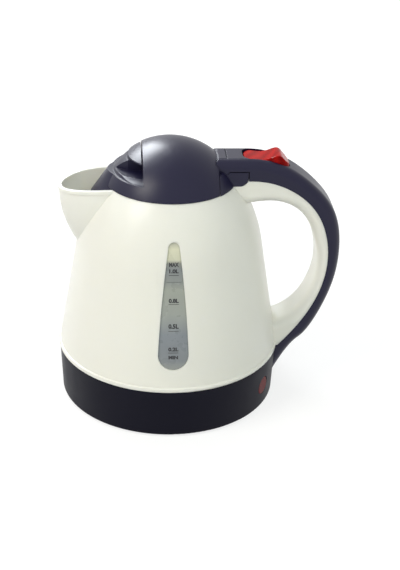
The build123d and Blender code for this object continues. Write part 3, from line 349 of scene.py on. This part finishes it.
# name, direction, distance, width, height, brightness, colour
LAMPS = (
    ("back_box", BACK_LEFT, 1.4, 0.8, 0.65, 5.5, SKY_WHITE),
    ("back_sheen", BACK_LEFT, 1.42, 0.8, 0.65, 19.0, SKY_WHITE),
    ("key_box", FRONT_LEFT, 1.3, 0.55, 0.55, 8.6, WARM_WHITE),
    ("fill_box", FRONT_RIGHT, 1.5, 1.3, 1.1, 1.9, COOL_WHITE),
)
for facts in LAMPS:
    lamp = soft_box(*facts)
    lamp.visible_glossy = lamp.name != "fill_box"
    lamp.visible_diffuse = lamp.name != "back_sheen"
    print(lamp.name, round(lamp.data.energy, 1), "W")

# %% [markdown]
# ## Moulded plastics
#
# The jug is glossy cream plastic, and the lid, handle and base band are satin dark plastic.  A
# single colour would look like clay.  Real mouldings have faint flow marks, a gloss that varies
# over a few centimetres, and the fine texture of the steel mould.  Their edges are never quite
# sharp, so a bevel normal rounds them for the light while the shape stays as it is.


# %% Plastic finishes
FLOW_MM = 45
SMUDGE_MM = 14


def moulding(name, colour, flow_colour, gloss, grain, edge_mm, **sockets):
    """Moulded plastic: flow marks, wandering gloss and the mould's fine grain."""
    material, tree, output = new_material(name)
    flow = noise(tree, FLOW_MM, 3.0, (1, 1, 0.5))
    smudge = noise(tree, SMUDGE_MM, 4.0)
    size_mm, depth_mm = grain
    principled(
        tree,
        output,
        Base_Color=blend_colours(tree, flow, colour, flow_colour),
        Roughness=wander(tree, smudge, *gloss),
        Normal=relief(tree, noise(tree, size_mm, 1.0), depth_mm, edge_mm),
        **sockets,
    )
    return material


cream = moulding(
    "cream_moulding",
    (0.82, 0.80, 0.73),
    (0.85, 0.83, 0.76),
    (0.30, 0.38),
    (2.2, 0.006),
    0.4,
    Specular_IOR_Level=0.24,
    Coat_Weight=0.15,
    Coat_Roughness=0.20,
    Subsurface_Weight=0.6,
    Subsurface_Radius=(1.0, 0.97, 0.88),
    Subsurface_Scale=4 * MM,
)
dark = moulding(
    "dark_moulding",
    (0.0075, 0.0065, 0.0260),
    (0.0105, 0.0095, 0.0320),
    (0.33, 0.39),
    (0.35, 0.005),
    0.35,
    Specular_IOR_Level=0.30,
)
band = moulding(
    "band_moulding",
    (0.0036, 0.0034, 0.0095),
    (0.0050, 0.0048, 0.0125),
    (0.40, 0.48),
    (0.40, 0.006),
    0.35,
    Specular_IOR_Level=0.10,
)
inner = moulding(
    "inner_moulding", (0.035, 0.035, 0.040), (0.045, 0.045, 0.052), (0.42, 0.52), (0.5, 0.012), 0.3
)
print("plastics:", [m.name for m in (cream, dark, band, inner)])

# %% [markdown]
# ## Red rocker and pilot lens
#
# Both are clear red plastic that lights up from behind.  Fully clear plastic would show the dark
# switch behind it and look black, so the moulder adds a little white.  Light then travels a few
# millimetres inside before it comes out again, which is what the subsurface setting does.  On top
# of that is a painted glow: the thin rims, picked out by a Layer Weight, and faint ribs are painted
# a warmer, lighter red.


# %% Red finishes
RIB_RATE = 0.32  # the wave texture's scale for ribs one unit apart
RIB_TURN = 0.6
RIB_WAVER = 5.0
# share of the ribs in the painted glow
RIB_SHARE = 0.45
PAINTED_GLOW_RIM_BLEND = 0.3


def red_plastic(name, deep, painted_glow_colour, glow, rib_mm):
    """Tinted plastic with light that travels inside it, and a painted glow on its rims and on faint
    ribs on its hidden side.
    """
    material, tree, output = new_material(name)
    place = tree.nodes.new("ShaderNodeTexCoord")
    turn = tree.nodes.new("ShaderNodeMapping")
    turn.inputs["Rotation"].default_value = (0, 0, RIB_TURN)
    ribs = tree.nodes.new("ShaderNodeTexWave")
    ribs.inputs["Scale"].default_value = RIB_RATE / (rib_mm * MM)
    ribs.inputs["Distortion"].default_value = RIB_WAVER
    ribs.inputs["Detail"].default_value = 2.0
    facing = tree.nodes.new("ShaderNodeLayerWeight")
    facing.inputs["Blend"].default_value = PAINTED_GLOW_RIM_BLEND
    # painted glow: the colour turns lighter red where the ribs and the rims are
    painted_glow_mask = tree.nodes.new("ShaderNodeMath")
    painted_glow_mask.operation = "MULTIPLY_ADD"
    painted_glow_mask.inputs[1].default_value = RIB_SHARE
    tree.links.new(place.outputs["Object"], turn.inputs["Vector"])
    tree.links.new(turn.outputs[0], ribs.inputs["Vector"])
    tree.links.new(ribs.outputs["Fac"], painted_glow_mask.inputs[0])
    tree.links.new(facing.outputs["Facing"], painted_glow_mask.inputs[2])
    principled(
        tree,
        output,
        Base_Color=blend_colours(tree, painted_glow_mask.outputs[0], deep, painted_glow_colour),
        Roughness=wander(tree, noise(tree, 6, 3.0), 0.08, 0.16),
        Normal=relief(tree, noise(tree, 3, 1.0), 0.01, 0.5),
        Subsurface_Weight=glow,
        Subsurface_Radius=(1.0, 0.05, 0.03),
        Subsurface_Scale=2.0 * MM,
        Specular_IOR_Level=0.05,
    )
    return material


# the second colour of each red is the painted glow on its rims and ribs
rocker_red = red_plastic("rocker_red", (0.17, 0.0004, 0.0004), (0.52, 0.008, 0.005), 0.10, 7.0)
lens_red = red_plastic("lens_red", (0.10, 0.003, 0.005), (0.14, 0.005, 0.007), 0.05, 3.0)
print("reds:", rocker_red.name, lens_red.name)

# %% [markdown]
# ## Level window
#
# The window is a long strip of frosted plastic.  Seen from outside it shows the inside of the jug,
# which is painted into a colour ramp along the height.  The grey is painted shade, a little bluer
# where the inside of the jug is darker, and the pale patch above the highest mark is painted light.
# A real see-through strip would need water and light behind it.  The ramp stays the same from every
# side.

# %% Window finish
WINDOW_LOW = 50.2 * MM
WINDOW_HIGH = 133.6 * MM
# share of the window's height, colour of painted shade or painted light
WINDOW_PAINTED_SHADE_AND_LIGHT = (
    (0.00, (0.30, 0.31, 0.29)),
    (0.07, (0.22, 0.235, 0.25)),
    (0.28, (0.225, 0.245, 0.27)),
    (0.45, (0.335, 0.35, 0.32)),
    (0.64, (0.345, 0.36, 0.315)),
    (0.70, (0.27, 0.285, 0.27)),
    (0.80, (0.23, 0.245, 0.25)),
    (0.845, (0.27, 0.275, 0.25)),
    (0.87, (0.60, 0.59, 0.45)),
    (0.95, (0.68, 0.665, 0.50)),
    (1.00, (0.42, 0.41, 0.34)),
)


def window_material():
    """Frosted strip with painted shade and painted light that follow its height, and faint clouds.
    """
    material, tree, output = new_material("frosted_window")
    place = tree.nodes.new("ShaderNodeTexCoord")
    parts = tree.nodes.new("ShaderNodeSeparateXYZ")
    share = tree.nodes.new("ShaderNodeMapRange")
    share.inputs["From Min"].default_value = WINDOW_LOW
    share.inputs["From Max"].default_value = WINDOW_HIGH
    # the ramp paints the shade and light of the jug's inside, seen through the window
    painted_shade_ramp = tree.nodes.new("ShaderNodeValToRGB")
    stops = painted_shade_ramp.color_ramp.elements
    stops[0].position, stops[0].color = WINDOW_PAINTED_SHADE_AND_LIGHT[0][0], (*WINDOW_PAINTED_SHADE_AND_LIGHT[0][1], 1)
    stops[1].position, stops[1].color = WINDOW_PAINTED_SHADE_AND_LIGHT[-1][0], (*WINDOW_PAINTED_SHADE_AND_LIGHT[-1][1], 1)
    for position, colour in WINDOW_PAINTED_SHADE_AND_LIGHT[1:-1]:
        stops.new(position).color = (*colour, 1)
    cloud = tree.nodes.new("ShaderNodeMix")
    cloud.data_type = "RGBA"
    cloud.blend_type = "MULTIPLY"
    cloud.inputs["Factor"].default_value = 1.0
    veil = blend_colours(tree, noise(tree, 9, 3.0, (1, 1, 0.4)), (0.86, 0.87, 0.88), (1, 1, 1))
    tree.links.new(place.outputs["Object"], parts.inputs[0])
    tree.links.new(parts.outputs["Z"], share.inputs["Value"])
    tree.links.new(share.outputs[0], painted_shade_ramp.inputs["Fac"])
    tree.links.new(painted_shade_ramp.outputs["Color"], cloud.inputs["A"])
    tree.links.new(veil, cloud.inputs["B"])
    principled(
        tree,
        output,
        Base_Color=cloud.outputs["Result"],
        Roughness=wander(tree, noise(tree, 8, 3.0), 0.24, 0.34),
        Normal=relief(tree, noise(tree, 0.5, 2.0), 0.012, 0.3),
    )
    return material


frosted = window_material()
print("window tints:", len(WINDOW_PAINTED_SHADE_AND_LIGHT))

# %% [markdown]
# ## Metals
#
# Sheet steel is brushed, which leaves fine parallel lines.  Turned pins and plated screws have
# rings or a fine cast grain instead.  All of them can share one net, in which the noise is drawn
# out along the direction of the tool.  The tint and the length of the lines tell them apart.


# %% Metal finishes
def metal(name, colour, worn, gloss, line_mm, stretch, depth_mm):
    """Metal with tool lines, wandering gloss and slightly darker handled places."""
    material, tree, output = new_material(name)
    lines = noise(tree, line_mm, 3.0, stretch)
    principled(
        tree,
        output,
        Base_Color=blend_colours(tree, noise(tree, 11, 4.0), colour, worn),
        Roughness=wander(tree, lines, *gloss),
        Normal=relief(tree, lines, depth_mm, 0.2),
        Metallic=1.0,
    )
    return material


plate_steel = metal(
    "plate_steel", (0.62, 0.62, 0.60), (0.55, 0.55, 0.54), (0.24, 0.36), 0.5, (0.04, 1, 1), 0.008
)
element_steel = metal(
    "element_steel", (0.44, 0.42, 0.39), (0.36, 0.34, 0.33), (0.38, 0.52), 1.2, (1, 1, 1), 0.02
)
pin_steel = metal(
    "pin_steel", (0.66, 0.66, 0.66), (0.58, 0.58, 0.59), (0.18, 0.28), 0.4, (1, 0.08, 1), 0.004
)
screw_steel = metal(
    "screw_steel", (0.60, 0.61, 0.62), (0.50, 0.51, 0.52), (0.26, 0.38), 0.5, (1, 1, 1), 0.01
)
brass = metal(
    "contact_brass", (0.70, 0.50, 0.22), (0.60, 0.42, 0.19), (0.22, 0.36), 0.6, (1, 1, 1), 0.008
)
aluminium = metal(
    "cast_aluminium", (0.72, 0.72, 0.73), (0.62, 0.62, 0.64), (0.42, 0.58), 0.9, (1, 1, 1), 0.05
)
print("metals:", [m.name for m in (plate_steel, element_steel, pin_steel, screw_steel, brass)])

# %% [markdown]
# ## Rubber, ceramic, sleeves and the neon lamp
#
# The small parts inside the base are seldom seen, but they show when the kettle is opened.  Each
# gets the texture of its own material: a dusty bloom on the rubber, speckles in the unglazed
# ceramic, the weave of the glass-fibre sleeves, and clear glass for the neon lamp.


# %% Finishes of the small parts
def dull(name, colour, other, roughness, size_mm, depth_mm, **sockets):
    """Dull material with speckles of a given size."""
    material, tree, output = new_material(name)
    speckle = noise(tree, size_mm, 4.0)
    principled(
        tree,
        output,
        Base_Color=blend_colours(tree, speckle, colour, other),
        Roughness=wander(tree, speckle, *roughness),
        Normal=relief(tree, speckle, depth_mm, 0.2),
        **sockets,
    )
    return material


STRAND_RATE = 0.3
STRAND_TILT = 0.8


def sleeve_material():
    """Woven glass-fibre sleeve, with crossing strands from two wave textures."""
    material, tree, output = new_material("woven_sleeve")
    place = tree.nodes.new("ShaderNodeTexCoord")
    crossing = tree.nodes.new("ShaderNodeMath")
    crossing.operation = "MAXIMUM"
    for index, tilt in enumerate((STRAND_TILT, -STRAND_TILT)):
        turn = tree.nodes.new("ShaderNodeMapping")
        turn.inputs["Rotation"].default_value = (tilt, tilt, 0)
        strands = tree.nodes.new("ShaderNodeTexWave")
        strands.inputs["Scale"].default_value = STRAND_RATE / MM
        tree.links.new(place.outputs["Object"], turn.inputs["Vector"])
        tree.links.new(turn.outputs[0], strands.inputs["Vector"])
        tree.links.new(strands.outputs["Fac"], crossing.inputs[index])
    principled(
        tree,
        output,
        Base_Color=blend_colours(tree, crossing.outputs[0], (0.36, 0.35, 0.31), (0.62, 0.61, 0.56)),
        Roughness=wander(tree, noise(tree, 2, 2.0), 0.55, 0.7),
        Normal=relief(tree, crossing.outputs[0], 0.08),
    )
    return material


seal_rubber = dull(
    "silicone_seal", (0.50, 0.50, 0.48), (0.56, 0.56, 0.54), (0.42, 0.52), 5, 0.01,
    Subsurface_Weight=0.1, Subsurface_Scale=1.5 * MM,
)
foot_rubber = dull(
    "foot_rubber", (0.020, 0.020, 0.021), (0.034, 0.034, 0.035), (0.68, 0.82), 0.8, 0.03
)
ceramic = dull("unglazed_ceramic", (0.70, 0.67, 0.60), (0.80, 0.78, 0.72), (0.55, 0.7), 0.7, 0.03)
neon_glass = dull(
    "neon_glass", (0.95, 0.62, 0.42), (0.98, 0.74, 0.55), (0.04, 0.09), 3, 0.004,
    Transmission_Weight=0.8, IOR=1.47,
)
sleeve = sleeve_material()
print("small parts:", [m.name for m in (seal_rubber, foot_rubber, ceramic, neon_glass, sleeve)])

# %% [markdown]
# ## Dress the solids
#
# Each CAD node keeps its mesh, and only the material in its slot changes.  One table says which
# finish goes where, so a missed node shows at once.

# %% Finishes of the solids
FINISHES = {
    cream: ("body_shell",),
    dark: ("handle_cover", "hinge_block", "lid_dome", "lid_latch"),
    band: ("base_housing",),
    inner: ("lid_liner", "switch_housing", "steam_holder", "bottom_plate", "power_inlet"),
    frosted: ("level_window",),
    rocker_red: ("switch_rocker",),
    lens_red: ("pilot_lens",),
    neon_glass: ("pilot_lamp",),
    seal_rubber: ("lid_seal", "plate_seal"),
    foot_rubber: ("feet",),
    sleeve: ("handle_leads",),
    plate_steel: ("heating_plate", "clamp_ring", "thermal_fuse"),
    element_steel: ("heating_element",),
    pin_steel: ("hinge_pin", "latch_pin", "latch_spring", "rocker_pin"),
    screw_steel: ("tail_screw", "lid_screws", "bottom_screws", "clamp_screws"),
    brass: ("switch_contacts", "steam_disc", "snap_disc", "inlet_pins"),
    aluminium: ("heat_spreader",),
    ceramic: ("thermostat",),
}

for material, names in FINISHES.items():
    for name in names:
        slots = nodes[name].data.materials
        slots.clear()
        slots.append(material)

dressed = [name for names in FINISHES.values() for name in names]
print("dressed", len(dressed), "nodes; left plain:", sorted(set(nodes) - set(dressed)))

# %% [markdown]
# ## Level marks
#
# The marks are printed on the window in dark ink.  A texture would need a flat picture of them.
# Here each word starts as a text object, becomes a mesh, is scaled to its printed size and is
# then laid on the window: a ray from the front finds the window's surface behind every corner.
# The ink stands a few hundredths of a millimetre proud, as real printing does.

# %% Ink and the surface under it
INK_LIFT = 0.05 * MM
feet_low, feet_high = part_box("feet")
JUG_X = feet_low[0] / 2 + feet_high[0] / 2
FRONT_Y = cad_box[0][1] - 50 * MM  # the rays start in front of the whole kettle
LINE_STEPS = 24

ink = dull("window_ink", (0.014, 0.014, 0.018), (0.026, 0.026, 0.030), (0.42, 0.55), 0.5, 0.004)
faint_ink = dull("worn_ink", (0.13, 0.14, 0.14), (0.18, 0.19, 0.19), (0.42, 0.55), 0.5, 0.004)
window_surface = BVHTree.FromObject(nodes["level_window"], bpy.context.evaluated_depsgraph_get())
print("jug's axis at X", round(JUG_X / MM, 2), "mm")


def lay_on_window(mesh):
    """Push every vertex back onto the window's front."""
    for vertex in mesh.vertices:
        spot = Vector((vertex.co.x, FRONT_Y, vertex.co.z))
        hit = window_surface.ray_cast(spot, Vector((0, 1, 0)))[0]
        vertex.co.y = hit.y - INK_LIFT


def add_mark(name, mesh, material):
    """Printed mark that moves with the kettle."""
    mesh.materials.clear()
    mesh.materials.append(material)
    lay_on_window(mesh)
    mark = bpy.data.objects.new(name, mesh)
    scene.collection.objects.link(mark)
    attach(mark, "kettle")
    return mark


# %% Words and lines
WORD_WEIGHT = 0.05  # how much bolder than the plain letters, at a letter size of 1


def word(name, text, height_z, width_mm, tall_mm, material):
    """Word of a given printed size, with its middle at a height on the window."""
    letters = bpy.data.curves.new(name, "FONT")
    letters.body = text
    letters.offset = WORD_WEIGHT
    letters.resolution_u = 3
    drawn = bpy.data.objects.new(name + "_curve", letters)
    mesh = bpy.data.meshes.new_from_object(drawn)
    bpy.data.objects.remove(drawn)
    mesh.name = name
    low = [min(v.co[axis] for v in mesh.vertices) for axis in (0, 1)]
    high = [max(v.co[axis] for v in mesh.vertices) for axis in (0, 1)]
    for vertex in mesh.vertices:
        across = (vertex.co.x - low[0]) / (high[0] - low[0]) - 0.5
        upward = (vertex.co.y - low[1]) / (high[1] - low[1]) - 0.5
        vertex.co = (JUG_X + across * width_mm * MM, 0, (height_z + upward * tall_mm) * MM)
    return add_mark(name, mesh, material)


def line(name, height_z, width_mm, tall_mm, material):
    """Printed line, in short pieces so that it can follow the window."""
    build = bmesh.new()
    rows = []
    for side in (-0.5, 0.5):
        z = (height_z + side * tall_mm) * MM
        rows.append(
            [
                build.verts.new((JUG_X + (step / LINE_STEPS - 0.5) * width_mm * MM, 0, z))
                for step in range(LINE_STEPS + 1)
            ]
        )
    for step in range(LINE_STEPS):
        build.faces.new((rows[0][step], rows[0][step + 1], rows[1][step + 1], rows[1][step]))
    mesh = bpy.data.meshes.new(name)
    build.to_mesh(mesh)
    build.free()
    return add_mark(name, mesh, material)


# name, text, height, width and letter height in millimetres
WORDS = (
    ("word_max", "MAX", 120.0, 6.2, 2.7),
    ("word_1_0", "1.0L", 115.9, 6.0, 2.7),
    ("word_0_8", "0.8L", 96.6, 6.4, 2.9),
    ("word_0_5", "0.5L", 79.6, 6.6, 3.2),
    ("word_0_2", "0.2L", 64.2, 6.6, 2.7),
    ("word_min", "MIN", 58.7, 6.2, 2.4),
)
# name, height, width and thickness in millimetres, ink
LINES = (
    ("line_1_0", 113.2, 6.2, 0.35, ink),
    ("line_wide", 108.7, 9.4, 0.6, faint_ink),
    ("line_0_8", 94.2, 6.6, 0.3, ink),
    ("line_0_5", 76.4, 6.6, 0.3, ink),
    ("line_0_2", 61.8, 6.6, 0.35, ink),
)
marks = [word(*facts, ink) for facts in WORDS] + [line(*facts) for facts in LINES]
print("marks:", [mark.name for mark in marks])
